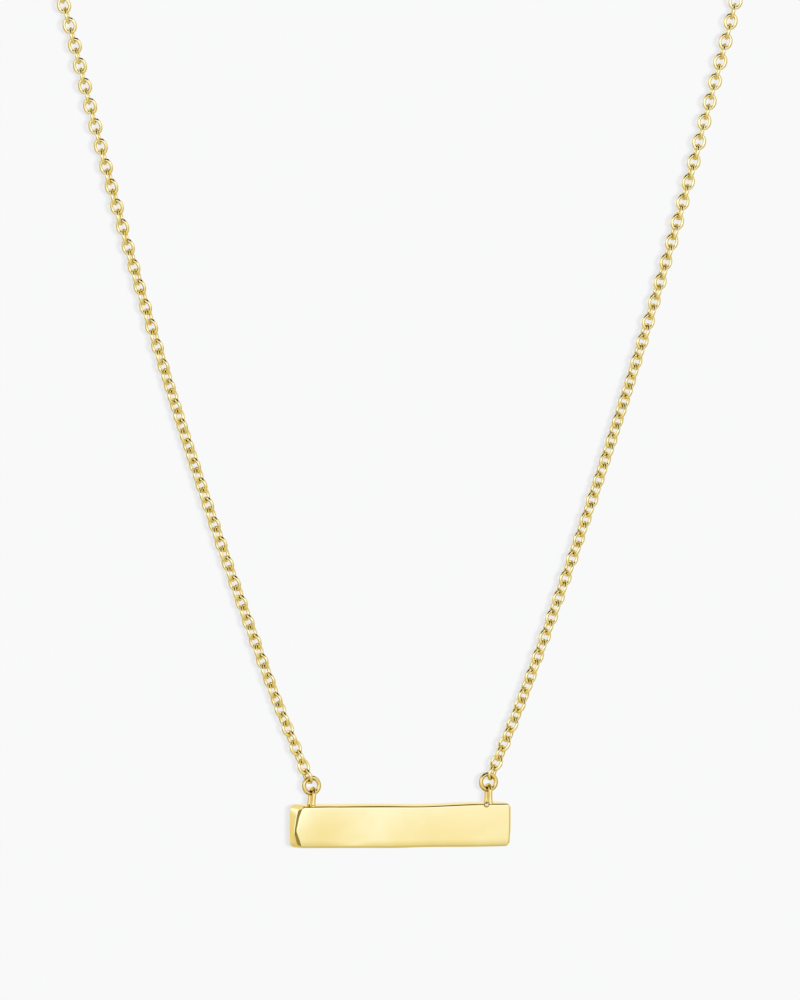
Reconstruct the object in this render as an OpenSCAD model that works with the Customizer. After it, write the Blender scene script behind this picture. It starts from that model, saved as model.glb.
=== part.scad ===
// Plate necklace: a small polished bar, hung by two soldered eyelets and two jump rings
// from a fine cable chain that goes round the neck and closes at the nape.
// All sizes are in millimetres. +X is the wearer's left, seen on the right from the front,
// -Y is the front and +Z is up. The origin is at the nape, in the middle of the clasp.

/* [Plate] */
// Length of the bar-shaped plate, end to end
plate_length = 22.8; // [21:0.1:26]
// Height of the plate, bottom edge to top edge
plate_height = 4.25; // [3:0.05:8]
// Thickness of the plate, front to back
plate_thickness = 2; // [1.9:0.05:2.6]
// Radius of the plate's rounded edges and corners
edge_radius = 0.5; // [0.3:0.05:0.6]

/* [Eyelets] */
// Distance between the middles of the two eyelets
eyelet_spacing = 18.6; // [18:0.1:19.2]
// Height of an eyelet above the plate's top edge
eyelet_height = 1.95; // [1.8:0.05:2.1]
// Width of an eyelet over its two legs, front to back
eyelet_width = 1.78; // [1.7:0.02:1.84]
// Diameter of the eyelet's wire
eyelet_wire = 0.42; // [0.36:0.02:0.46]
// Diameter of the solder bead at each foot of an eyelet
bead_d = 0.6; // [0.5:0.02:0.7]

/* [Jump rings] */
// Outer diameter of a jump ring
ring_outer = 2; // [1.95:0.05:2.2]
// Diameter of the jump ring's wire
ring_wire = 0.42; // [0.36:0.02:0.44]

/* [Chain] */
// Length of a link, outside
link_length = 1.7; // [1.65:0.01:1.8]
// Width of a link, outside
link_width = 1.43; // [1.4:0.01:1.5]
// Diameter of a link's wire
link_wire = 0.33; // [0.28:0.01:0.34]
// Diameter of the round envelope of the chain's links
chain_d = 1.4; // [1.2:0.05:1.5]
// Gap between two wires that hang one in the other
play = 0.06; // [0.05:0.01:0.1]

/* [Clasp] */
// Outer diameter of the clasp's ring
clasp_outer = 5.5; // [5:0.1:7]
// Thickness of the clasp's ring
clasp_wire = 1; // [0.8:0.1:1.2]
// Outer diameter of the small eye on each side of the clasp
eye_outer = 1.6; // [1.5:0.05:1.8]
// Diameter of the eye's wire
eye_wire = 0.4; // [0.36:0.02:0.44]

/* [Hidden] */

// Smoothness of the wires and of the rings that they make
wire_fn = 32;
ring_fn = 64;

gold = [0.93, 0.80, 0.45];
deep_gold = [0.86, 0.70, 0.34];

// The chain's front lies in the plane y = front_y, and the plate's top edge at plate_top
front_y = -90;
plate_top = -127;
eyelet_x = eyelet_spacing / 2;

// The plate without its rounded skin
core = [plate_length, plate_thickness, plate_height] - 2 * edge_radius * [1, 1, 1];

// Middle of an eyelet's arch and of its legs
arch_r = (eyelet_width - eyelet_wire) / 2;
arch_z = eyelet_height - eyelet_wire / 2 - arch_r;
// How deep the legs stand in the plate, and how high the beads sit on its edge
leg_sunk = 0.35;
bead_z = -0.1;
// Where the bead of the right eyelet has run to, at the foot of its front leg
run_x = -0.34;
run_y = -0.12;

// The plate swings about the lowest point of the jump rings' wire
hinge_z = eyelet_height - eyelet_wire / 2 - (eyelet_wire + ring_wire) / 2 - play;
ring_r = (ring_outer - ring_wire) / 2;
ring_centre = [eyelet_x, front_y, plate_top + hinge_z + ring_r];

// Route of the right half of the chain, from the jump ring up the front, out over the
// shoulder and back to the nape
route = [
    ring_centre,
    [12.7, -90, -117],
    [16.5, -90, -107],
    [20.1, -90, -97],
    [23.5, -90, -87],
    [26.7, -90, -77],
    [29.7, -90, -67],
    [32.5, -90, -57],
    [35.2, -90, -47],
    [38, -88.5, -37],
    [40.6, -83.5, -27.5],
    [42.6, -75.5, -19.5],
    [43.8, -66, -13.5],
    [44.2, -55.5, -9],
    [43.6, -45, -5.5],
    [41.6, -34, -3],
    [38, -23.5, -1],
    [32.4, -14, 0],
    [24.5, -6.5, 0],
    [14.5, -1.5, 0],
    [3.5, 0, 0],
];
route_last = len(route) - 1;
// Step along the route, in points, over which its direction is taken
route_step = 0.01;

// Middle of the end link at the jump ring, measured up the chain from the ring's middle
link_reach = (link_length - link_wire) / 2;
ring_link = ring_r - (ring_wire + link_wire) / 2 - play + link_reach;
// Middle of the clasp's eye, and of the end link that hangs in it
eye_x = clasp_outer / 2 + eye_outer / 2 - eye_wire * 0.7;
eye_link = eye_x + eye_outer / 2 - eye_wire - play - link_wire / 2 + link_reach;
// Lean of the chain from upright where it leaves the jump ring
lean = atan2(route[1][0] - route[0][0], route[1][2] - route[0][2]);

// Sides and rings of the chain's envelope, and the gap to the end links
tube_sides = 8;
tube_rings = 40;
tube_gap = 0.1;
tube_start = ring_link + link_length / 2 + tube_gap;
tube_end = eye_link + link_length / 2 + tube_gap - route[route_last][0];
// A direction that the right half of the route never takes
off_route = [1, 1, 0];

// Sides of a link's wire and steps round a link
link_sides = 6;
link_steps = 16;

function unit(v) = v / norm(v);

// Direction of the route at its point i, from the points on both sides of it
function route_slope(i) =
    i == 0 ? route[1] - route[0]
    : i == route_last ? route[i] - route[i - 1]
    : (route[i + 1] - route[i - 1]) / 2;

// Cubic curve from a to b, with the slopes da and db at its ends
function cubic(a, da, b, db, t) =
    (2 * t ^ 3 - 3 * t ^ 2 + 1) * a + (t ^ 3 - 2 * t ^ 2 + t) * da
    + (3 * t ^ 2 - 2 * t ^ 3) * b + (t ^ 3 - t ^ 2) * db;

// Point of the smooth route at u, where u counts the points passed
function route_at(u) =
    let (i = min(floor(u), route_last - 1))
    cubic(route[i], route_slope(i), route[i + 1], route_slope(i + 1), u - i);

function route_direction(u) = unit(route_at(u + route_step) - route_at(u - route_step));

// One ring of the envelope, square to the route at u
function tube_ring(u) =
    let (d = route_direction(u), a = unit(cross(d, off_route)), b = cross(d, a))
    [for (k = [0:tube_sides - 1])
        let (w = 360 * k / tube_sides)
        route_at(u) + chain_d / 2 * (cos(w) * a + sin(w) * b)];

// One ring of a link's wire, at the angle w round an upright oval in the YZ plane
function link_ring(w) =
    let (
        across = (link_width - link_wire) / 2,
        middle = [0, across * cos(w), link_reach * sin(w)],
        out = unit([0, link_reach * cos(w), across * sin(w)])
    )
    [for (k = [0:link_sides - 1])
        let (v = 360 * k / link_sides)
        middle + link_wire / 2 * (cos(v) * out + sin(v) * [1, 0, 0])];

// Triangles between rings of points, each ring going round its own path once
function skin(rings, sides, closed) = [
    for (j = [0:rings - (closed ? 1 : 2)], k = [0:sides - 1])
        let (
            next = (j + 1) % rings,
            a = j * sides + k,
            b = j * sides + (k + 1) % sides,
            c = next * sides + (k + 1) % sides,
            d = next * sides + k
        )
        each [[a, d, c], [a, c, b]]
];

// A straight round wire ends each leg of the eyelet, and a half ring joins them
module eyelet() {
    translate([0, 0, arch_z])
        rotate([90, 0, 90])
            rotate_extrude(angle = 180, $fn = ring_fn)
                translate([arch_r, 0])
                    circle(d = eyelet_wire, $fn = wire_fn);
    for (side = [-1, 1])
        translate([0, side * arch_r, -leg_sunk])
            cylinder(d = eyelet_wire, h = arch_z + leg_sunk, $fn = wire_fn);
}

// A rod of the edge's roundness along one axis, 0 for X, 1 for Y and 2 for Z
module edge_rod(axis, length) {
    rotate([[0, 90, 0], [90, 0, 0], [0, 0, 0]][axis])
        cylinder(r = edge_radius, h = length, center = true, $fn = wire_fn);
}

// The bar itself, its top edge at z = 0: a block grown by the edge radius to each side,
// with a rod along each edge and a ball at each corner
module bar() {
    translate([0, 0, -plate_height / 2]) {
        for (axis = [0:2]) {
            cube([for (k = [0:2]) k == axis ? core[k] + 2 * edge_radius : core[k]], center = true);
            for (a = [-1, 1], b = [-1, 1])
                translate([for (k = [0:2])
                    k == axis ? 0 : core[k] / 2 * (k == (axis + 1) % 3 ? a : b)])
                    edge_rod(axis, core[axis]);
        }
        for (x = [-1, 1], y = [-1, 1], z = [-1, 1])
            translate([x * core[0], y * core[1], z * core[2]] / 2)
                sphere(r = edge_radius, $fn = wire_fn);
    }
}

// The bar with its two eyelets and their solder, which are one piece of metal
module plate() {
    color(gold)
        translate([0, front_y, plate_top]) {
            bar();
            for (side = [-1, 1])
                translate([side * eyelet_x, 0, 0]) {
                    eyelet();
                    for (leg = [-1, 1]) {
                        run = side > 0 && leg < 0 ? [run_x, run_y, 0] : [0, 0, 0];
                        translate([0, leg * arch_r, bead_z] + run)
                            sphere(d = bead_d, $fn = wire_fn);
                    }
                }
        }
}

// A round ring of round wire, lying in the XZ plane
module wire_ring(outer, wire) {
    rotate([90, 0, 0])
        rotate_extrude($fn = ring_fn)
            translate([(outer - wire) / 2, 0])
                circle(d = wire, $fn = wire_fn);
}

module jump_ring() {
    color(deep_gold)
        translate(ring_centre)
            wire_ring(ring_outer, ring_wire);
}

// One link of the chain, upright in the YZ plane
module link() {
    polyhedron(
        points = [for (j = [0:link_steps - 1]) each link_ring(360 * j / link_steps)],
        faces = skin(link_steps, link_sides, true)
    );
}

// The envelope of all links between the two end links
module chain_tube() {
    first = tube_start / norm(route[1] - route[0]);
    last = route_last - tube_end / norm(route[route_last] - route[route_last - 1]);
    polyhedron(
        points = [for (j = [0:tube_rings - 1])
            each tube_ring(first + (last - first) * j / (tube_rings - 1))],
        faces = concat(
            [[for (k = [0:tube_sides - 1]) k]],
            skin(tube_rings, tube_sides, false),
            [[for (k = [tube_sides - 1:-1:0]) (tube_rings - 1) * tube_sides + k]]
        )
    );
}

// The right half of the chain, with the end links that hang in the jump ring and the clasp
module chain() {
    color(gold) {
        translate(ring_centre)
            rotate([0, lean, 0])
                translate([0, 0, ring_link])
                    link();
        chain_tube();
        translate([eye_link, 0, 0])
            rotate([0, 90, 0])
                link();
    }
}

module jump_ring_left() mirror([1, 0, 0]) jump_ring();
module jump_ring_right() jump_ring();
module chain_left() mirror([1, 0, 0]) chain();
module chain_right() chain();

// The closed clasp at the nape: a plain ring with an eye soldered on each side
module clasp() {
    color(deep_gold) {
        wire_ring(clasp_outer, clasp_wire);
        for (side = [-1, 1])
            translate([side * eye_x, 0, 0])
                wire_ring(eye_outer, eye_wire);
    }
}

plate();
jump_ring_left();
jump_ring_right();
chain_left();
chain_right();
clasp();
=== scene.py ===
"""Plate necklace: a polished bar hung by two eyelets and two jump rings from a fine cable chain.

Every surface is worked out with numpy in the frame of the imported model, in metres: +X is on the
right seen from the front, -Y is the front, +Z is up, and the origin is the nape.
"""

import bpy
import numpy as np
from bpy.props import FloatProperty, FloatVectorProperty, IntProperty, PointerProperty
from mathutils import Matrix, Vector


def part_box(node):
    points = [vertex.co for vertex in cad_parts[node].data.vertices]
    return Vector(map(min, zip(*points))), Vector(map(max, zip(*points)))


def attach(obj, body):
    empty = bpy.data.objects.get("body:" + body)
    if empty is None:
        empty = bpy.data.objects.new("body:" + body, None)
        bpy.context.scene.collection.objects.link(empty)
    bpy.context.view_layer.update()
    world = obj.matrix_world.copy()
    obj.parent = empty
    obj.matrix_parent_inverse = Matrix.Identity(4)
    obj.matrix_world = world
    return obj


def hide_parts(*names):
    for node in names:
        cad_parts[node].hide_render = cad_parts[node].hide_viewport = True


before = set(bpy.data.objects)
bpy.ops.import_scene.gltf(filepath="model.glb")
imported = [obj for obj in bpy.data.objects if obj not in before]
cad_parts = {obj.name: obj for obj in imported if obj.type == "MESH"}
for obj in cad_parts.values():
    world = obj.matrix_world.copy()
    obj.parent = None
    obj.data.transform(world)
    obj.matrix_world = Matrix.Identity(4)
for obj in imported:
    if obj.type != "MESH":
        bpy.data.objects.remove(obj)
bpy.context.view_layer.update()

bl_info = {
    "name": "Plate Necklace",
    "version": (1, 0, 0),
    "blender": (4, 5, 0),
    "location": "View3D > Sidebar > Necklace",
    "description": "Polished bar plate on a fine cable chain, with its studio",
    "category": "Add Mesh",
}

MM = 0.001
DEGREE = np.pi / 180

# Points round a loop of wire, and round the wire itself
LINK_GRID, RING_GRID, CLASP_GRID, EYE_GRID = (14, 7), (72, 24), (96, 28), (48, 16)

PLATE_LOW, PLATE_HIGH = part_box("plate")
RING_LOW, RING_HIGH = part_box("jump_ring_right")
CLASP_LOW, CLASP_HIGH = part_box("clasp")
FRONT_Y = (RING_LOW.y + RING_HIGH.y) / 2


class NecklaceSizes(bpy.types.PropertyGroup):
    """Sizes of the necklace's pieces."""

    plate_length: FloatProperty(
        name="Plate length", description="Length of the bar, end to end",
        default=PLATE_HIGH.x - PLATE_LOW.x, unit="LENGTH")
    plate_height: FloatProperty(
        name="Plate height", description="Height of the bar, bottom edge to top edge",
        default=4.25 * MM, unit="LENGTH")
    plate_thickness: FloatProperty(
        name="Plate thickness", description="Thickness of the bar, front to back",
        default=2 * MM, unit="LENGTH")
    edge_radius: FloatProperty(
        name="Edge radius", description="Radius of the bar's rounded edges",
        default=0.28 * MM, unit="LENGTH")
    corner_radius: FloatProperty(
        name="Corner radius", description="Radius of the bar's corners, seen from the front",
        default=0.5 * MM, unit="LENGTH")
    eyelet_spacing: FloatProperty(
        name="Eyelet spacing", description="Distance between the middles of the eyelets",
        default=RING_LOW.x + RING_HIGH.x, unit="LENGTH")
    eyelet_height: FloatProperty(
        name="Eyelet height", description="Height of an eyelet above the bar",
        default=1.95 * MM, unit="LENGTH")
    eyelet_width: FloatProperty(
        name="Eyelet width", description="Width of an eyelet over its two legs",
        default=1.66 * MM, unit="LENGTH")
    eyelet_wire: FloatProperty(
        name="Eyelet wire", description="Diameter of the eyelet's wire",
        default=0.42 * MM, unit="LENGTH")
    bead_diameter: FloatProperty(
        name="Solder bead", description="Diameter of the solder bead at an eyelet's foot",
        default=0.6 * MM, unit="LENGTH")
    ring_outer: FloatProperty(
        name="Jump ring", description="Outer diameter of a jump ring",
        default=RING_HIGH.z - RING_LOW.z, unit="LENGTH")
    ring_wire: FloatProperty(
        name="Jump ring wire", description="Diameter of the jump ring's wire",
        default=RING_HIGH.y - RING_LOW.y, unit="LENGTH")
    link_length: FloatProperty(
        name="Link length", description="Length of a link, outside",
        default=1.765 * MM, unit="LENGTH")
    link_width: FloatProperty(
        name="Link width", description="Width of a link, outside",
        default=1.45 * MM, unit="LENGTH")
    link_wire: FloatProperty(
        name="Link wire", description="Diameter of a link's wire",
        default=0.355 * MM, unit="LENGTH")
    link_count: IntProperty(
        name="Links a side", description="Links between a jump ring and the clasp",
        default=207, min=3)
    play: FloatProperty(
        name="Play", description="Gap between two wires that hang one in the other",
        default=0.06 * MM, unit="LENGTH")
    clasp_outer: FloatProperty(
        name="Clasp", description="Outer diameter of the clasp's ring",
        default=CLASP_HIGH.z - CLASP_LOW.z, unit="LENGTH")
    clasp_wire: FloatProperty(
        name="Clasp wire", description="Thickness of the clasp's ring",
        default=CLASP_HIGH.y - CLASP_LOW.y, unit="LENGTH")
    eye_outer: FloatProperty(
        name="Clasp eye", description="Outer diameter of the eye on each side of the clasp",
        default=1.6 * MM, unit="LENGTH")
    eye_wire: FloatProperty(
        name="Clasp eye wire", description="Diameter of the eye's wire",
        default=0.4 * MM, unit="LENGTH")


class NecklaceFinish(bpy.types.PropertyGroup):
    """Colours and polish of the plated metal."""

    gold: FloatVectorProperty(
        name="Gold", description="Colour of the pale plating",
        default=(0.985, 0.835, 0.39), subtype="COLOR", min=0, max=1)
    chain_gold: FloatVectorProperty(
        name="Chain's gold", description="Colour of the links",
        default=(1.0, 0.868, 0.415), subtype="COLOR", min=0, max=1)
    deep_gold: FloatVectorProperty(
        name="Deep gold", description="Colour of the eyelets, the jump rings and the clasp",
        default=(0.86, 0.65, 0.215), subtype="COLOR", min=0, max=1)
    plate_edge: FloatVectorProperty(
        name="Plate's edge tint", description="Colour of the plate seen at a grazing angle",
        default=(1.0, 0.84, 0.45), subtype="COLOR", min=0, max=1)
    wire_edge: FloatVectorProperty(
        name="Wire's edge tint", description="Colour of the wires seen at a grazing angle",
        default=(0.75, 0.55, 0.2), subtype="COLOR", min=0, max=1)
    # Painted shade: the dark colour that stands in for the shade where two wires meet
    tarnish: FloatVectorProperty(
        name="Painted shade", description="Colour of the metal where two wires rub",
        default=(0.16, 0.09, 0.03), subtype="COLOR", min=0, max=1)
    solder: FloatVectorProperty(
        name="Solder", description="Colour of the solder bead",
        default=(1.0, 0.88, 0.47), subtype="COLOR", min=0, max=1)
    ring_edge: FloatVectorProperty(
        name="Jump ring's edge tint", description="Colour of the jump rings at a grazing angle",
        default=(0.3, 0.16, 0.03), subtype="COLOR", min=0, max=1)
    polish: FloatProperty(
        name="Roughness", description="Roughness of the polished metal",
        default=0.03, min=0, max=1, subtype="FACTOR")


class NecklaceStudio(bpy.types.PropertyGroup):
    """Camera, backdrop and light."""

    azimuth: FloatProperty(
        name="Azimuth", description="Camera's angle round the necklace, from the front",
        default=-18 * DEGREE, unit="ROTATION")
    elevation: FloatProperty(
        name="Elevation", description="Camera's angle above the horizon",
        default=3.5 * DEGREE, unit="ROTATION")
    roll: FloatProperty(
        name="Roll", description="Turn of the camera about its own line of sight",
        default=0.11 * DEGREE, unit="ROTATION")
    distance: FloatProperty(
        name="Distance", description="Distance of the camera from the plate",
        default=3.3, unit="LENGTH")
    view_height: FloatProperty(
        name="View height", description="Height of the view at the plate",
        default=100 * MM, unit="LENGTH")
    aim_height: FloatProperty(
        name="Aim height", description="Middle of the view, above the plate's top edge",
        default=30.42 * MM, unit="LENGTH")
    floor_drop: FloatProperty(
        name="Floor", description="Depth of the floor below the nape",
        default=1, unit="LENGTH")
    shadow: FloatProperty(
        name="Shadow", description="Share of the backdrop's light that the necklace holds off",
        default=0.17, min=0, max=1, subtype="FACTOR")
    shadow_shift: FloatProperty(
        name="Shadow's shift", description="How far left of the necklace its shadow is seen",
        default=0.45 * MM, unit="LENGTH")
    shadow_blur: FloatProperty(
        name="Shadow's blur", description="Half the width of the shadow's soft edge",
        default=0.25 * MM, unit="LENGTH")
    card_distance: FloatProperty(
        name="Card", description="Distance of the card behind the plate that takes the shadow",
        default=5.0, unit="LENGTH")
    paper: FloatProperty(
        name="Paper", description="Brightness of the backdrop paper as the camera sees it",
        default=0.947, min=0, max=1, subtype="FACTOR")


# Points of the right half of the chain's route, in millimetres, from the jump ring up the
# front, out over the shoulder and back to the nape. The first point is the ring's middle.
ROUTE = [
    (12.7, -90, -117), (16.5, -90, -107), (20.1, -90, -97), (23.5, -90, -87),
    (26.7, -90, -77), (29.7, -90, -67), (32.5, -90, -57), (35.2, -90, -47),
    (38, -88.5, -37), (40.6, -83.5, -27.5), (42.6, -75.5, -19.5), (43.8, -66, -13.5),
    (44.2, -55.5, -9), (43.6, -45, -5.5), (41.6, -34, -3), (38, -23.5, -1),
    (32.4, -14, 0), (24.5, -6.5, 0), (14.5, -1.5, 0), (3.5, 0, 0),
]
# A direction that the right half of the route never takes
OFF_ROUTE = np.array([1.0, 1.0, 0.0])

# How the chain turns on its way up. Columns: distance along the chain from the jump ring in
# millimetres, and the azimuth in degrees that the faces of every second link look to, on the
# left side seen from the right half of the route, and on the right side.
TWIST = np.array([
    # along, left, right
    [0.0, 75.0, 54.0],
    [2.5, 75.0, 44.0],
    [6.0, 75.0, 39.0],
    [8.5, 65.0, 35.0],
    [10.5, 55.0, 22.0],
    [13.0, 51.0, 17.0],
    [20.0, 53.0, 18.0],
    [27.0, 54.0, 18.0],
    [33.0, 57.0, 22.0],
    [37.0, 62.0, 27.0],
    [42.0, 61.0, 26.0],
    [46.0, 51.0, 14.0],
    [49.0, 45.0, 8.0],
    [55.0, 45.0, 6.0],
    [58.0, 37.0, 1.0],
    [65.0, 37.0, 1.0],
    [68.0, 28.0, -8.0],
    [83.0, 24.0, -12.0],
])
# Links from the jump ring up to the one whose place is known, and its distance along the
# chain in millimetres, on the left side and on the right side
KNOWN_LINK = {-1: (78, 82.639), 1: (76, 80.069)}


def unit(vectors):
    """Vectors scaled to length 1: v / |v|, over the last axis."""
    return vectors / np.linalg.norm(vectors, axis=-1, keepdims=True)


def grid_quads(rows, columns, rows_closed=False, columns_closed=False):
    """Quads of a grid of points numbered row by row: (i, j), (i+1, j), (i+1, j+1), (i, j+1).
    A closed direction joins its last line of points to its first."""
    i = np.arange(rows if rows_closed else rows - 1)[:, None]
    j = np.arange(columns if columns_closed else columns - 1)[None, :]
    i_next, j_next = (i + 1) % rows, (j + 1) % columns
    corners = [i * columns + j, i_next * columns + j,
               i_next * columns + j_next, i * columns + j_next]
    return np.stack([np.broadcast_to(c, (i.size, j.size)) for c in corners], -1).reshape(-1, 4)


def wire_loops(middles, across, along, half_width, half_length, wire, steps, sides):
    """Closed wires round ovals, one for each row of middles.
    A point is middle + a cos w across + b sin w along + r (cos v out + sin v normal), where w
    goes round the oval, v round the wire, out is the oval's own outward direction and normal
    is across x along. Returns points and quads."""
    w = np.arange(steps) * 2 * np.pi / steps
    v = np.arange(sides) * 2 * np.pi / sides
    cos_w, sin_w = np.cos(w)[:, None], np.sin(w)[:, None]
    across, along, middles = (np.atleast_2d(a)[:, None, :] for a in (across, along, middles))
    line = middles + half_width * cos_w * across + half_length * sin_w * along
    out = unit(half_length * cos_w * across + half_width * sin_w * along)
    normal = np.cross(across, along)
    around = (np.cos(v)[:, None] * out[:, :, None, :]
              + np.sin(v)[:, None] * normal[:, :, None, :])
    points = (line[:, :, None, :] + wire / 2 * around).reshape(-1, 3)
    one = grid_quads(steps, sides, True, True)
    starts = np.arange(len(middles))[:, None, None] * steps * sides
    return points, (one + starts).reshape(-1, 4)


def shaded_ends(steps, sides, low, high):
    """Marks painted shade on a wire loop, where the next wire hangs in it: 1 on the inner side
    of its two ends, where |sin w| goes past high and -cos v past 0.9, falling smoothly to 0 at
    low and at 0.1."""
    w = np.arange(steps) * 2 * np.pi / steps
    v = np.arange(sides) * 2 * np.pi / sides
    ends = smooth_step(np.abs(np.sin(w)), low, high)
    return (ends[:, None] * smooth_step(-np.cos(v), 0.1, 0.9)).ravel()


def open_wire(line, side_axis, radii, sides):
    """A wire along an open flat line. A point is line + r (cos v out + sin v side_axis), where
    out is side_axis x the line's direction, and r changes along the line. Both ends are closed
    by strips of quads across the last ring."""
    direction = unit(np.gradient(line, axis=0))
    out = np.cross(side_axis, direction)
    v = np.arange(sides) * 2 * np.pi / sides
    around = np.cos(v)[:, None] * out[:, None, :] + np.sin(v)[:, None] * side_axis
    points = (line[:, None, :] + radii[:, None, None] * around).reshape(-1, 3)
    quads = grid_quads(len(line), sides, False, True)
    k = np.arange(sides // 2 - 1)
    cap = np.stack([k, k + 1, sides - 2 - k, sides - 1 - k], -1)
    return points, np.concatenate([quads, cap, cap[:, ::-1] + (len(line) - 1) * sides])


def rounded_box(half, radius, counts, round_steps):
    """A box with rounded edges. Its skin is a grid of stations on each face; a station beyond
    the core at distance r tan(a) turns the face's normal by the angle a, and a point is the
    nearest point of the core + r times the direction away from it. Returns points and quads.
    With half equal to the radius it is a ball."""
    half = np.asarray(half, float)
    core = half - radius
    roll = radius * np.tan(np.linspace(0, np.pi / 4, round_steps + 1))
    stations = []
    for size, count in zip(core, counts):
        flat = np.linspace(-size, size, count) if size > 0 else np.zeros(1)
        stations.append(np.concatenate([-size - roll[:0:-1], flat, size + roll[1:]]))
    sheets, faces, start = [], [], 0
    for axis in range(3):
        a, b = stations[(axis + 1) % 3], stations[(axis + 2) % 3]
        for side in (-1, 1):
            sheet = np.empty((len(a), len(b), 3))
            sheet[..., axis] = side * half[axis]
            sheet[..., (axis + 1) % 3] = a[:, None]
            sheet[..., (axis + 2) % 3] = b[None, :]
            quads = grid_quads(len(a), len(b)) + start
            sheets.append(sheet.reshape(-1, 3))
            faces.append(quads if side > 0 else quads[:, ::-1])
            start += len(a) * len(b)
    skin, merged = np.unique(np.round(np.concatenate(sheets), 9), axis=0, return_inverse=True)
    nearest = np.clip(skin, -core, core)
    return nearest + radius * unit(skin - nearest), merged.reshape(-1)[np.concatenate(faces)]


def smooth_step(x, low, high):
    """0 below low, 1 above high and the cubic 3t^2 - 2t^3 between them."""
    t = np.clip((x - low) / (high - low), 0, 1)
    return t * t * (3 - 2 * t)


def bump(x, middle, width):
    """A hill of height 1: exp(-((x - middle) / width)^2)."""
    return np.exp(-(((x - middle) / width) ** 2))


def new_piece(name, shells, material, body, slot, replaced, **marks):
    """Joins closed shells, each points and quads, into one smooth mesh that rides on a body
    and stands for the named solid. Marks are values of its points for the material."""
    starts = np.cumsum([0] + [len(points) for points, _ in shells[:-1]])
    points = np.concatenate([points for points, _ in shells])
    quads = np.concatenate([quads + start for (_, quads), start in zip(shells, starts)])
    mesh = bpy.data.meshes.new(name)
    mesh.vertices.add(len(points))
    mesh.vertices.foreach_set("co", points.astype(np.float32).ravel())
    mesh.loops.add(quads.size)
    mesh.loops.foreach_set("vertex_index", quads.astype(np.int32).ravel())
    mesh.polygons.add(len(quads))
    mesh.polygons.foreach_set("loop_start", np.arange(0, quads.size, 4, dtype=np.int32))
    mesh.polygons.foreach_set("use_smooth", np.ones(len(quads), bool))
    mesh.update(calc_edges=True)
    if mesh.validate():
        raise RuntimeError(f"{name}: the mesh had faces that Blender had to mend")
    for mark, values in marks.items():
        attribute = mesh.attributes.new(mark, "FLOAT", "POINT")
        attribute.data.foreach_set("value", values.astype(np.float32))
    mesh.materials.append(material)
    piece = bpy.data.objects.new(name, mesh)
    bpy.context.scene.collection.objects.link(piece)
    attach(piece, body)
    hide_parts(replaced)
    return piece


class Socket:
    """A node's output in a shader. Arithmetic on it adds Math nodes."""

    def __init__(self, graph, output):
        self.graph, self.output = graph, output

    def _math(self, operation, a, b):
        return self.graph.node("ShaderNodeMath", {"operation": operation}, {0: a, 1: b})

    def __add__(self, other):
        return self._math("ADD", self, other)

    def __radd__(self, other):
        return self._math("ADD", other, self)

    def __sub__(self, other):
        return self._math("SUBTRACT", self, other)

    def __rsub__(self, other):
        return self._math("SUBTRACT", other, self)

    def __mul__(self, other):
        return self._math("MULTIPLY", self, other)

    def __rmul__(self, other):
        return self._math("MULTIPLY", other, self)

    def __pow__(self, other):
        return self._math("POWER", self, other)


class Graph:
    """The nodes of one material or world."""

    def __init__(self, tree):
        self.tree = tree
        tree.nodes.clear()

    def node(self, kind, settings=None, inputs=None, output=0):
        """Adds a node of a kind. Its settings are set first, then the values or links of its
        sockets; the wanted output comes back as a Socket."""
        made = self.tree.nodes.new(kind)
        for name, value in (settings or {}).items():
            setattr(made, name, value)
        for name, value in (inputs or {}).items():
            if isinstance(value, Socket):
                self.tree.links.new(value.output, made.inputs[name])
            else:
                made.inputs[name].default_value = value
        return Socket(self, made.outputs[output]) if len(made.outputs) else None

    def step(self, value, low, high, to_low=0.0, to_high=1.0):
        """A value that goes smoothly from to_low to to_high as another goes from low to high."""
        return self.node(
            "ShaderNodeMapRange", {"interpolation_type": "SMOOTHSTEP"},
            {"Value": value, "From Min": low, "From Max": high,
             "To Min": to_low, "To Max": to_high})

    def dot(self, vector, direction):
        """How far a vector points along a fixed direction."""
        return self.node("ShaderNodeVectorMath", {"operation": "DOT_PRODUCT"},
                         {0: vector, 1: tuple(direction)}, output="Value")

    def mark(self, name):
        """A value of the piece's points, 0 on a piece that has none by that name."""
        return self.node("ShaderNodeAttribute", {"attribute_name": name}, output="Fac")

    def mix(self, factor, low, high):
        """A colour between two colours."""
        return self.node("ShaderNodeMix", {"data_type": "RGBA"},
                         {0: factor, 6: low, 7: high}, output=2)


def new_material(name):
    """A material by a name, and the graph of its nodes, still empty."""
    material = bpy.data.materials.new(name)
    material.use_nodes = True
    return material, Graph(material.node_tree)


def rgba(colour, strength=1.0):
    """A colour with its alpha, brightened by a strength."""
    return tuple(strength * c for c in colour) + (1.0,)


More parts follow.
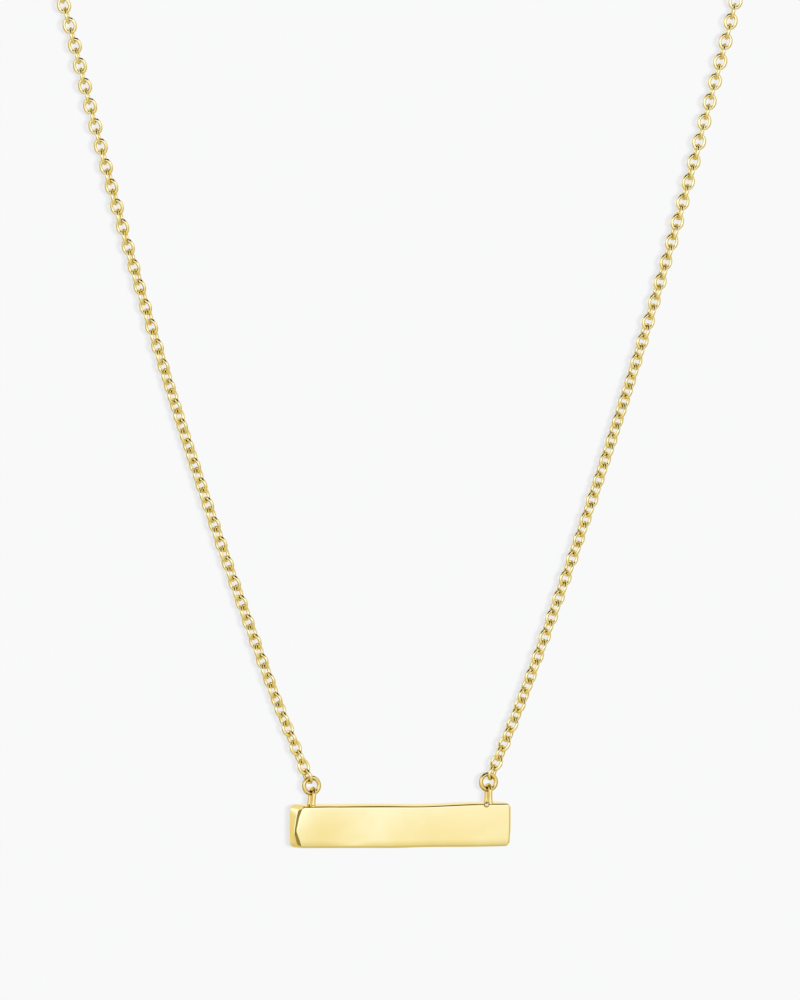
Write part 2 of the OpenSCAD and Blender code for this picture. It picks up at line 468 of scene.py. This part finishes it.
def polished_metal(name, colour, edge, finish, wave_scale, ripple, wire_colour=None):
    """Polished plating: a base colour with faint cloudy changes of tone, a roughness that
    drifts a little, and a bump of shallow ripples and hairlines left by the polishing wheel.
    With a colour for wire, points marked as wire have it, and points marked as solder are
    paler and duller. Points marked for painted shade are dark: shade painted where wires meet."""
    material, graph = new_material(name)
    place = graph.node("ShaderNodeTexCoord", output="Object")
    cloud = graph.node("ShaderNodeTexNoise", inputs={
        "Vector": place, "Scale": wave_scale, "Detail": 3.0, "Roughness": 0.5})
    fine_scale = 14 * wave_scale
    stretched = graph.node("ShaderNodeMapping", inputs={
        "Vector": place, "Scale": (wave_scale, fine_scale, fine_scale)})
    hairlines = graph.node("ShaderNodeTexNoise", inputs={
        "Vector": stretched, "Scale": 6.0, "Detail": 2.0, "Roughness": 0.6})
    deeper = tuple(c * d for c, d in zip(colour, (0.985, 0.95, 0.86)))
    tone = graph.mix(graph.step(cloud, 0.35, 0.65), rgba(deeper), rgba(colour))
    hairlines_dull, solder_dull, tarnish_cover, hairline_height = 0.03, 0.28, 0.95, 0.02
    roughness = finish.polish + hairlines_dull * graph.step(hairlines, 0.4, 0.7)
    if wire_colour:
        solder = graph.mark("solder")
        tone = graph.mix(graph.mark("wire"), tone, rgba(wire_colour))
        tone = graph.mix(solder, tone, rgba(finish.solder))
        roughness = roughness + solder_dull * solder
    # Painted shade: where wires meet and cross, the base colour turns dark, standing in for the
    # shade between them
    tone = graph.mix(tarnish_cover * graph.mark("tarnish"), tone, rgba(finish.tarnish))
    bumped = graph.node("ShaderNodeBump", inputs={
        "Strength": 1.0, "Distance": ripple, "Height": cloud + hairline_height * hairlines})
    shader = graph.node("ShaderNodeBsdfPrincipled", inputs={
        "Base Color": tone, "Metallic": 1.0, "Roughness": roughness, "Normal": bumped,
        "Specular Tint": rgba(edge)})
    graph.node("ShaderNodeOutputMaterial", inputs={"Surface": shader})
    return material


def plate_top(sizes):
    """Middle of the plate's top edge."""
    return np.array([0, FRONT_Y, PLATE_LOW.z + sizes.plate_height])


def axes_of(studio):
    """Directions from the plate to the camera, to the right of the view and up in it."""
    a, e, t = studio.azimuth, studio.elevation, studio.roll
    toward = np.array([np.sin(a) * np.cos(e), -np.cos(a) * np.cos(e), np.sin(e)])
    level = np.array([np.cos(a), np.sin(a), 0.0])
    upright = np.cross(level, -toward)
    right = np.cos(t) * level + np.sin(t) * upright
    up = np.cos(t) * upright - np.sin(t) * level
    return toward, right, up


class NECKLACE_OT_plate(bpy.types.Operator):
    """Adds the bar with its two eyelets and their solder"""

    bl_idname = "necklace.plate"
    bl_label = "Plate"

    # The bar's form is worked out in millimetres: x runs from its middle to the right, and z
    # from its top edge upward, so it is negative on the bar. to_front goes from 0 at the back
    # to 1 at the front, and to_top from 0 at the bottom to 1 at the top.

    def bar(self, sizes):
        """A rounded box whose top slopes to the front, whose left end is ground back at its
        corners, and whose front is shallowly waved and rolls off towards the bottom."""
        half = np.array([sizes.plate_length, sizes.plate_thickness, sizes.plate_height]) / 2
        points, quads = rounded_box(half, sizes.edge_radius, counts=(221, 12, 30), round_steps=8)
        half_x, half_y, half_z = half / MM
        x, y, z = (points / MM).T
        x, z = self.round_corners(x, z, half_x, half_z, sizes.corner_radius / MM)
        to_front, to_top = (1 - y / half_y) / 2, (1 + z / half_z) / 2
        z = z - half_z
        shaped = np.stack([x + self.end_shift(x, z, to_front),
                           y + to_front * self.face_depth(x, z),
                           z + self.rise(x, z, to_front, to_top)], -1)
        return self.cut_facet(shaped) * MM, quads

    def round_corners(self, x, z, half_x, half_z, radius):
        """Rounds the outline's corners more than the edges: a square corner is pulled to a
        circle, or a little past it at the upper left and the lower right. With u and v from
        0 to 1 into the corner, x moves in by radius u (1 - sqrt(1 - v^2 / 2)), z likewise."""
        past_circle = 1.35
        u = np.clip(np.abs(x) - half_x + radius, 0, None) / radius
        v = np.clip(np.abs(z) - half_z + radius, 0, None) / radius
        pull = np.where(x * z < 0, past_circle, 1) * radius
        x = x - np.sign(x) * u * (1 - np.sqrt(1 - v ** 2 / 2)) * pull
        z = z - np.sign(z) * v * (1 - np.sqrt(1 - u ** 2 / 2)) * pull
        return x, z

    def rise(self, x, z, to_front, to_top):
        """How far a point moves up. The bar hangs a little lower on the right, the top slopes
        down to the front, and both long edges are filed by hand. The top's front edge is
        sharper than the others: the face is drawn up to it."""
        hang, drawn_up = -0.0075 * x, 0.16
        slope = 0.135 + 0.025 * bump(x, -3.5, 3) - 0.045 * smooth_step(x, -1, 9)
        top = (0.045 + 0.03 * smooth_step(x, 5, 8) + 0.02 * smooth_step(-x, 6.5, 8)
               - 0.1 * bump(x, 2.2, 3.2) - slope * to_front ** 2)
        bottom = (0.02 * np.sin(x / 1.9 + 0.8) - 0.07 * bump(x, -0.6, 2.6)
                  - 0.05 * smooth_step(x, -6, 10))
        near_edge = (np.clip(-z / 0.28, 0, 1) * (1 - smooth_step(-z, 0.28, 2.0))
                     * smooth_step(to_front, 0.8, 1) * smooth_step(-np.abs(x), -11.35, -10.9))
        return hang + to_top * top + (1 - to_top) * bottom + drawn_up * near_edge

    def end_shift(self, x, z, to_front):
        """How far a point moves to the right. The left end's front edge runs in from the end
        at the top and at the bottom, and the right end runs in a little at the bottom."""
        left = smooth_step(-x, 9.5, 11.0)
        run_in = (0.225 * np.clip(z + 2.35, 0, None) + 0.15 * np.clip(z + 1, 0, None)
                  + 0.36 * np.clip(-2.8 - z, 0, None))
        right = smooth_step(x, 10.6, 11.4) * smooth_step(-z, 2.0, 4.0)
        return left * (0.06 + run_in * to_front ** 1.05) - 0.08 * right

    def face_depth(self, x, z):
        """How far the face lies back: it is waved and domed, and rolls off to the bottom edge
        and to the left end."""
        half_length, mid_height, wave_length = 11.4, -2.1, 11.7
        above, lean = z - mid_height, 0.15 - 0.1 * x
        wave = 0.034 * np.sin(2 * np.pi * (x + 7.8 - lean * above) / wave_length)
        dome = (0.02 * (x / half_length) ** 4 + 0.0035 * above ** 2
                + 0.004 * np.clip(z + 2.6, 0, None) ** 2 * (1 - bump(x, -0.5, 3.5)))
        roll = 0.04 * smooth_step(-z, 3.4, 4.25) ** 2 * (1 - bump(x, -5.2, 1.4))
        # Past the left corner the face turns into a straight bevel through a short curve
        t = np.clip((-11.15 - x) / 0.04, 0, None)
        left_end = 0.032 * np.where(t < 1, t ** 2 / 2, t - 0.5)
        return wave + dome + roll + left_end

    def cut_facet(self, points):
        """Cuts a facet off the lower left corner: what stands out of a plane is laid on it."""
        on_plane, facing = np.array([-11.06, -1, -2.8]), unit(np.array([-1, -0.8, -0.4]))
        outside = np.clip((points - on_plane) @ facing, 0, None)
        return points - outside[:, None] * facing

    def eyelet(self, sizes, side):
        """A wire arch in the YZ plane: two straight legs and a half circle. Near its feet the
        wire flares into the solder, by 1 + flare exp(-z / flare_reach). The left eyelet leans
        to the right."""
        radius = (sizes.eyelet_width - sizes.eyelet_wire) / 2
        arch = sizes.eyelet_height - sizes.eyelet_wire / 2 - radius
        sunk, flare, flare_reach = 0.35 * MM, 0.4, 0.2 * MM
        slant, foot_shift = 0.1, 0.04 * MM
        leg_points, turn_points, sides = 14, 25, 20
        leg = np.linspace(-sunk, arch, leg_points)
        turn = np.linspace(0, np.pi, turn_points)[1:-1]
        y = np.concatenate([np.full(len(leg), -radius), -radius * np.cos(turn),
                            np.full(len(leg), radius)])
        z = np.concatenate([leg, arch + radius * np.sin(turn), leg[::-1]])
        line = np.stack([np.zeros(len(y)), y, z], -1)
        radii = sizes.eyelet_wire / 2 * (1 + flare * np.exp(-np.clip(z, 0, None) / flare_reach))
        points, quads = open_wire(line, np.array([1.0, 0, 0]), radii, sides)
        if side < 0:
            points[:, 0] += slant * points[:, 2] - foot_shift
        return points + (side * sizes.eyelet_spacing / 2, 0, 0), quads

    def bead(self, sizes):
        """A ball of solder at the foot of the right eyelet's front leg."""
        radius = sizes.bead_diameter / 2
        aside, ahead, below = 0.51 * MM, 0.26 * MM, 0.16 * MM
        points, quads = rounded_box(np.full(3, radius), radius, counts=(1, 1, 1), round_steps=6)
        leg = (sizes.eyelet_width - sizes.eyelet_wire) / 2
        middle = np.array([sizes.eyelet_spacing / 2 - aside, -leg - ahead, -below])
        return points + middle, quads

    def tarnish(self, sizes, shells):
        """Marks painted shade: the inner side of both arches at the top, where the jump rings
        pass through, and the lower rim of the bead where it meets the face."""
        bar, *eyelets, (bead, _) = shells
        radius = sizes.eyelet_width / 2
        marks = [np.zeros(len(bar[0]))]
        for points, _ in eyelets:
            middle = points[:, 2].max() - radius
            y, z = points[:, 1] / radius, (points[:, 2] - middle) / radius
            depth = np.hypot(y, np.clip(z, 0, None))
            marks.append((1 - smooth_step(depth, 0.55, 0.7)) * smooth_step(z, 0.25, 0.45))
        # Painted shade round the bead's foot, where it meets the face
        proud = (-bead[:, 1] - sizes.plate_thickness / 2) / MM
        marks.append(0.65 * (1 - smooth_step(proud, 0.08, 0.15))
                     * (1 - smooth_step(bead[:, 2] / MM, -0.1, 0.1)))
        return np.concatenate(marks)

    def execute(self, context):
        scene = context.scene
        sizes, finish = scene.necklace_sizes, scene.necklace_finish
        shells = [self.bar(sizes), self.eyelet(sizes, -1), self.eyelet(sizes, 1),
                  self.bead(sizes)]
        # Dark painted shade in the arches under the jump rings and round the bead's foot
        tarnish = self.tarnish(sizes, shells)
        counts = [len(points) for points, _ in shells]
        wire, solder = np.repeat([0, 1, 1, 0], counts), np.repeat([0, 0, 0, 1], counts)
        shells = [(points + plate_top(sizes), quads) for points, quads in shells]
        metal = polished_metal("plate_polish", finish.gold, finish.plate_edge, finish,
                               wave_scale=260, ripple=0.004 * MM, wire_colour=finish.deep_gold)
        new_piece("plate_bar", shells, metal, "plate", "plate_gold", "plate", wire=wire,
                  solder=solder, tarnish=tarnish)
        return {"FINISHED"}


class NECKLACE_OT_jump_rings(bpy.types.Operator):
    """Adds the two jump rings that hang the plate from the chain"""

    bl_idname = "necklace.jump_rings"
    bl_label = "Jump Rings"

    def execute(self, context):
        scene = context.scene
        sizes, finish = scene.necklace_sizes, scene.necklace_finish
        metal = polished_metal("ring_polish", finish.deep_gold, finish.ring_edge, finish,
                               wave_scale=900, ripple=0.002 * MM)
        radius = (sizes.ring_outer - sizes.ring_wire) / 2
        for side, name in ((-1, "left"), (1, "right")):
            shell = wire_loops(ring_middle(side), (1, 0, 0), (0, 0, 1), radius, radius,
                               sizes.ring_wire, *RING_GRID)
            # The jump rings get painted shade inside their ends, where the links and eyelets pass
            # through
            new_piece(f"ring_{name}", [shell], metal, "chain", "ring_gold", f"jump_ring_{name}",
                      tarnish=shaded_ends(*RING_GRID, low=0.82, high=0.93))
        return {"FINISHED"}


def ring_middle(side):
    """Middle of the jump ring on one side."""
    low, high = np.array(RING_LOW), np.array(RING_HIGH)
    return (low + high) / 2 * (side, 1, 1)


def clasp_eye_x(sizes):
    """How far an eye's middle is from the clasp's: the two rings stand side by side and
    overlap by most of the eye's wire."""
    overlap = 0.7 * sizes.eye_wire
    return (sizes.clasp_outer + sizes.eye_outer) / 2 - overlap


def chain_line():
    """Points close together along the right half of the route, a cubic curve through its
    points with the slopes (next - previous) / 2, and their distances along it."""
    knots = np.concatenate([[ring_middle(1)], np.array(ROUTE, float) * MM])
    slopes = np.gradient(knots, axis=0)
    spans, points_each = len(knots) - 1, 400
    u = np.linspace(0, spans, spans * points_each + 1)
    i = np.minimum(u.astype(int), spans - 1)
    t = (u - i)[:, None]
    line = ((2 * t ** 3 - 3 * t ** 2 + 1) * knots[i] + (t ** 3 - 2 * t ** 2 + t) * slopes[i]
            + (3 * t ** 2 - 2 * t ** 3) * knots[i + 1] + (t ** 3 - t ** 2) * slopes[i + 1])
    steps = np.linalg.norm(np.diff(line, axis=0), axis=1)
    return line, np.concatenate([[0], np.cumsum(steps)])


class NECKLACE_OT_chain(bpy.types.Operator):
    """Adds both halves of the cable chain, link by link"""

    bl_idname = "necklace.chain"
    bl_label = "Chain"

    def half(self, sizes, side, rng):
        """Every link of one half. Link k lies at a distance s(k) along the route, square to
        the route's direction, and turned about it by an angle(k)."""
        line, distances = chain_line()
        directions = unit(np.gradient(line, axis=0))
        reach = (sizes.link_length - sizes.link_wire) / 2
        first = ((sizes.ring_outer - 2 * sizes.ring_wire - sizes.link_wire) / 2
                 - sizes.play + reach)
        hook = (clasp_eye_x(sizes) + sizes.eye_outer / 2 - sizes.eye_wire - sizes.play
                - sizes.link_wire / 2 + reach)
        last = distances[-1] - (hook - ROUTE[-1][0] * MM)
        links = np.arange(sizes.link_count)
        known, known_at = KNOWN_LINK[side]
        s = np.interp(links, [0, known, links[-1]], [first, known_at * MM, last])
        middles = np.stack([np.interp(s, distances, line[:, k]) for k in range(3)], -1)
        along = unit(np.stack([np.interp(s, distances, directions[:, k]) for k in range(3)], -1))
        # Two directions square to the route, from the first of which the angle is counted
        a = unit(np.cross(along, OFF_ROUTE))
        b = np.cross(along, a)
        angle = self.angles(s, a, b, last, side, rng)
        normal = np.cos(angle)[:, None] * a + np.sin(angle)[:, None] * b
        across = np.cross(along, normal)
        mirror = np.array([side, 1, 1])
        return wire_loops(middles * mirror, across * mirror, along * mirror,
                          (sizes.link_width - sizes.link_wire) / 2, reach,
                          sizes.link_wire, *LINK_GRID)

    def angles(self, s, a, b, last, side, rng):
        """Each link's turn about the route: it runs smoothly through the twist's table to the
        clasp, where the face looks up, with a quarter turn more on every second link and a
        small scatter that fades at both ends."""
        scatter, fade = 2.0 * DEGREE, 3
        links = np.arange(len(s))
        azimuth = TWIST[:, 1 if side < 0 else 2] * DEGREE
        facing = np.stack([np.sin(azimuth), -np.cos(azimuth), 0 * azimuth], -1)
        facing = np.concatenate([facing, [[0, 0, 1]]])
        knots = np.append(TWIST[:, 0] * MM, last)
        k = np.searchsorted(s, knots).clip(0, links[-1])
        turns = np.arctan2((facing * b[k]).sum(-1), (facing * a[k]).sum(-1))
        angle = np.interp(s, knots, np.unwrap(turns, period=np.pi)) + np.pi / 2 * (links % 2)
        loose = np.clip(np.minimum(links, links[::-1]) / fade, 0, 1)
        return angle + loose * rng.normal(0, scatter, len(links))

    def execute(self, context):
        scene = context.scene
        sizes, finish = scene.necklace_sizes, scene.necklace_finish
        metal = polished_metal("chain_polish", finish.chain_gold, finish.wire_edge, finish,
                               wave_scale=1300, ripple=0.001 * MM)
        rng = np.random.default_rng(seed=11)
        # Each link gets painted shade inside its ends, where the next links pass through
        tarnish = np.tile(shaded_ends(*LINK_GRID, low=0.72, high=0.96), sizes.link_count)
        for side, name in ((-1, "left"), (1, "right")):
            shell = self.half(sizes, side, rng)
            new_piece(f"links_{name}", [shell], metal, "chain", "chain_gold", f"chain_{name}",
                      tarnish=tarnish)
        return {"FINISHED"}


class NECKLACE_OT_clasp(bpy.types.Operator):
    """Adds the closed ring clasp at the nape, with its two eyes"""

    bl_idname = "necklace.clasp"
    bl_label = "Clasp"

    def execute(self, context):
        scene = context.scene
        sizes, finish = scene.necklace_sizes, scene.necklace_finish
        metal = polished_metal("clasp_polish", finish.deep_gold, finish.wire_edge, finish,
                               wave_scale=500, ripple=0.003 * MM)
        radius = (sizes.clasp_outer - sizes.clasp_wire) / 2
        shells = [wire_loops((0, 0, 0), (1, 0, 0), (0, 0, 1), radius, radius,
                             sizes.clasp_wire, *CLASP_GRID)]
        eye = (sizes.eye_outer - sizes.eye_wire) / 2
        for x in (-clasp_eye_x(sizes), clasp_eye_x(sizes)):
            shells.append(wire_loops((x, 0, 0), (1, 0, 0), (0, 0, 1), eye, eye,
                                     sizes.eye_wire, *EYE_GRID))
        new_piece("clasp_ring", shells, metal, "chain", "clasp_gold", "clasp")
        return {"FINISHED"}


class NECKLACE_OT_studio(bpy.types.Operator):
    """Sets up the camera, the pale backdrop, the card that takes the shadow and the light"""

    bl_idname = "necklace.studio"
    bl_label = "Studio"
    # The card's own tone, and the mean light that falls on it from the tent
    card_tone = 0.02
    tent_light = 0.82

    def camera(self, context, studio):
        """A camera with a long lens, aimed a little above the plate."""
        toward, right, up = axes_of(studio)
        aim = plate_top(context.scene.necklace_sizes) + studio.aim_height * up
        data = bpy.data.cameras.new("camera")
        data.lens = data.sensor_width * studio.distance / studio.view_height
        data.clip_start, data.clip_end = 0.1, 100
        camera = bpy.data.objects.new("camera", data)
        context.scene.collection.objects.link(camera)
        camera.location = Vector(aim + studio.distance * toward)
        camera.rotation_euler = Matrix(np.stack([right, up, toward], 1)).to_euler()
        context.scene.camera = camera

    def paper(self, context, studio):
        """A seamless sheet: a floor that curves up into a wall, carried along X."""
        turn = np.linspace(0, np.pi / 2, 24)
        bend, depth, height, width = 1.0, 8.0, 4.0, 14.0
        y = np.concatenate([[-12], depth - bend + bend * np.sin(turn), [depth]])
        z = np.concatenate([[0], bend - bend * np.cos(turn), [height]]) - studio.floor_drop
        x = np.linspace(-width, width, 9)
        points = np.stack([np.broadcast_to(x[:, None], (len(x), len(y))),
                           np.broadcast_to(y, (len(x), len(y))),
                           np.broadcast_to(z, (len(x), len(y)))], -1).reshape(-1, 3)
        mesh = bpy.data.meshes.new("paper")
        mesh.from_pydata(points.tolist(), [], grid_quads(len(x), len(y)).tolist())
        mesh.polygons.foreach_set("use_smooth", np.ones(len(mesh.polygons), bool))
        sheet = bpy.data.objects.new("paper", mesh)
        context.scene.collection.objects.link(sheet)
        sheet.visible_glossy = False
        material, graph = new_material("pale_paper")
        glow = graph.node("ShaderNodeEmission", inputs={
            "Color": rgba((1, 1, 1)), "Strength": studio.paper})
        graph.node("ShaderNodeOutputMaterial", inputs={"Surface": glow})
        mesh.materials.append(material)

    def card(self, context, studio):
        """A card square to the view, far behind the plate, and a lamp beside the lens that
        lights it alone. A lamp beside the lens by d throws a shadow that is seen shifted by
        d behind / (distance + behind), and its width blurs the edge in the same ratio."""
        toward, right, up = axes_of(studio)
        camera = context.scene.camera
        total = studio.distance + studio.card_distance
        middle = np.array(camera.location) - total * toward
        margin = 1.2
        half = margin * total / studio.distance * studio.view_height / 2
        corners = [middle + half * (a * right + b * up)
                   for a, b in ((-1, -1), (1, -1), (1, 1), (-1, 1))]
        mesh = bpy.data.meshes.new("card")
        mesh.from_pydata([tuple(c) for c in corners], [], [(0, 1, 2, 3)])
        card = bpy.data.objects.new("card", mesh)
        context.scene.collection.objects.link(card)
        card.visible_glossy = False
        material, graph = new_material("pale_card")
        graph.node("ShaderNodeOutputMaterial", inputs={
            "Surface": graph.node("ShaderNodeBsdfPrincipled", inputs={
                "Base Color": rgba((1, 1, 1), self.card_tone), "Roughness": 1.0,
                "Specular IOR Level": 0.0, "Emission Color": rgba((1, 1, 1)),
                "Emission Strength": studio.paper * (1 - studio.shadow)
                - self.card_tone * self.tent_light})})
        mesh.materials.append(material)
        seen = studio.card_distance / total
        lamp = bpy.data.lights.new("shadow_lamp", "AREA")
        lamp.shape = "RECTANGLE"
        lamp.size = 2 * studio.shadow_blur / seen
        lamp.size_y = 0.3 * lamp.size
        lamp.energy = studio.paper * studio.shadow * np.pi ** 2 * total ** 2 / self.card_tone
        spot = bpy.data.objects.new("shadow_lamp", lamp)
        context.scene.collection.objects.link(spot)
        spot.matrix_world = camera.matrix_basis
        spot.location = Vector(np.array(camera.location) + studio.shadow_shift / seen * right)
        only = bpy.data.collections.new("shadow_card")
        only.objects.link(card)
        spot.light_linking.receiver_collection = only

    def tent(self, context, studio):
        """The soft light all round: a wide bright front, a dim ring at right angles to the
        view with a bright strip behind it on the left, a lighter back, and a black band
        overhead. front, aside and over say how far a direction points to the camera, to its
        right and up in its view."""
        toward, right, up = axes_of(studio)
        world = bpy.data.worlds.new("tent")
        world.use_nodes = True
        context.scene.world = world
        graph = Graph(world.node_tree)
        ray = graph.node("ShaderNodeTexCoord", output="Generated")
        front, aside, over = (graph.dot(ray, axis) for axis in (toward, right, up))
        # The front falls off with the angle from the camera and is brighter above
        light = (0.92 + graph.step(front, 0.42, 0.62, 0, 0.08)
                 + graph.step(front, 0.70, 0.88, 0, 0.10) + graph.step(front, 0.85, 1, 0, 0.12)
                 + graph.step(over, -0.45, 0.2, -0.2, 0.10))
        # The back is dimmer below and high up, and right behind
        level = graph.step(over, -0.50, -0.35) * graph.step(over, 0.60, 0.75, 1, 0)
        behind = graph.step(front, -0.55, -0.42, 1, 0) * graph.step(front, -0.94, -0.88)
        back = graph.step(front, -0.30, -0.12, 1, 0) * (1 - level) * (1 - behind)
        # A dim ring at right angles to the view, lighter on the right, below and high up
        ring = graph.step(front, -0.14, 0.0) * graph.step(front, 0.34, 0.50, 1, 0)
        depth = (graph.step(over, -0.85, -0.4, 0.10, 0.72)
                 - graph.step(over, 0.3, 0.7, 0, 0.25) * graph.step(aside, -0.55, -0.3)
                 - graph.step(aside, 0.5, 0.9, 0, 0.2))
        # A black band overhead, from front to back, open at the back and at the zenith. It
        # starts a little higher at the back, and there it reaches less far to the left.
        opening = (graph.step(front, -0.75, -0.6, 1, 0) * graph.step(aside, -0.06, 0.0)
                   * graph.step(aside, 0.16, 0.22, 1, 0))
        start = over - 0.2 * graph.step(front, -0.85, -0.7, 1, 0)
        zenith = graph.step(over, 0.94, 0.965) * graph.step(aside, 0.12, 0.2, 1, 0)
        left = aside - graph.step(front, -0.65, -0.2, 0.33, 0)
        band = (graph.step(start, 0.27, 0.39) * graph.step(left, -0.48, -0.38)
                * graph.step(aside, 0.46, 0.54, 1, 0) * (1 - opening) * (1 - zenith))
        # A bright strip on the left, just behind the ring
        strip = (graph.step(front, -0.44, -0.35) * graph.step(front, -0.16, -0.08, 1, 0)
                 * graph.step(aside, -0.75, -0.65, 1, 0))
        light = ((light + 0.22 * strip) * (1 - ring * depth) * (1 - 0.25 * back)
                 * (1 - 0.13 * behind * graph.step(over, -0.15, 0.1)) * (1 - 0.995 * band))
        # Dim light is warm and strong light is white
        white = graph.step(light, 0.92, 1.1)
        strength = graph.node("ShaderNodeCombineColor", inputs={
            "Red": light, "Green": light ** 1.12 * (1 + 0.08 * white),
            "Blue": light ** 1.8 * (1 + 0.45 * white)})
        seen = graph.node("ShaderNodeLightPath", output="Is Camera Ray")
        studio_light = graph.node("ShaderNodeBackground", inputs={
            "Color": strength, "Strength": 1.0})
        backdrop = graph.node("ShaderNodeBackground", inputs={
            "Color": rgba((1, 1, 1)), "Strength": studio.paper})
        both = graph.node("ShaderNodeMixShader", inputs={0: seen, 1: studio_light, 2: backdrop})
        graph.node("ShaderNodeOutputWorld", inputs={"Surface": both})

    def execute(self, context):
        studio = context.scene.necklace_studio
        context.scene.view_settings.view_transform = "Standard"
        self.camera(context, studio)
        self.paper(context, studio)
        self.card(context, studio)
        self.tent(context, studio)
        return {"FINISHED"}


class NECKLACE_PT_panel(bpy.types.Panel):
    """Lists the necklace's operators and settings"""

    bl_label = "Plate Necklace"
    bl_idname = "NECKLACE_PT_panel"
    bl_space_type = "VIEW_3D"
    bl_region_type = "UI"
    bl_category = "Necklace"

    def draw(self, context):
        scene = context.scene
        for operator in OPERATORS:
            self.layout.operator(operator.bl_idname)
        for group in (scene.necklace_sizes, scene.necklace_finish, scene.necklace_studio):
            box = self.layout.box()
            for name in group.bl_rna.properties.keys():
                if name not in ("rna_type", "name"):
                    box.prop(group, name)


OPERATORS = (NECKLACE_OT_plate, NECKLACE_OT_jump_rings, NECKLACE_OT_chain, NECKLACE_OT_clasp,
             NECKLACE_OT_studio)
GROUPS = (NecklaceSizes, NecklaceFinish, NecklaceStudio)


def register():
    for cls in GROUPS + OPERATORS + (NECKLACE_PT_panel,):
        bpy.utils.register_class(cls)
    bpy.types.Scene.necklace_sizes = PointerProperty(type=NecklaceSizes)
    bpy.types.Scene.necklace_finish = PointerProperty(type=NecklaceFinish)
    bpy.types.Scene.necklace_studio = PointerProperty(type=NecklaceStudio)


def unregister():
    del bpy.types.Scene.necklace_studio
    del bpy.types.Scene.necklace_finish
    del bpy.types.Scene.necklace_sizes
    for cls in reversed(GROUPS + OPERATORS + (NECKLACE_PT_panel,)):
        bpy.utils.unregister_class(cls)


def main():
    """Registers the add-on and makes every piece."""
    register()
    bpy.ops.necklace.plate()
    bpy.ops.necklace.jump_rings()
    bpy.ops.necklace.chain()
    bpy.ops.necklace.clasp()
    bpy.ops.necklace.studio()


if __name__ == "__main__":
    main()
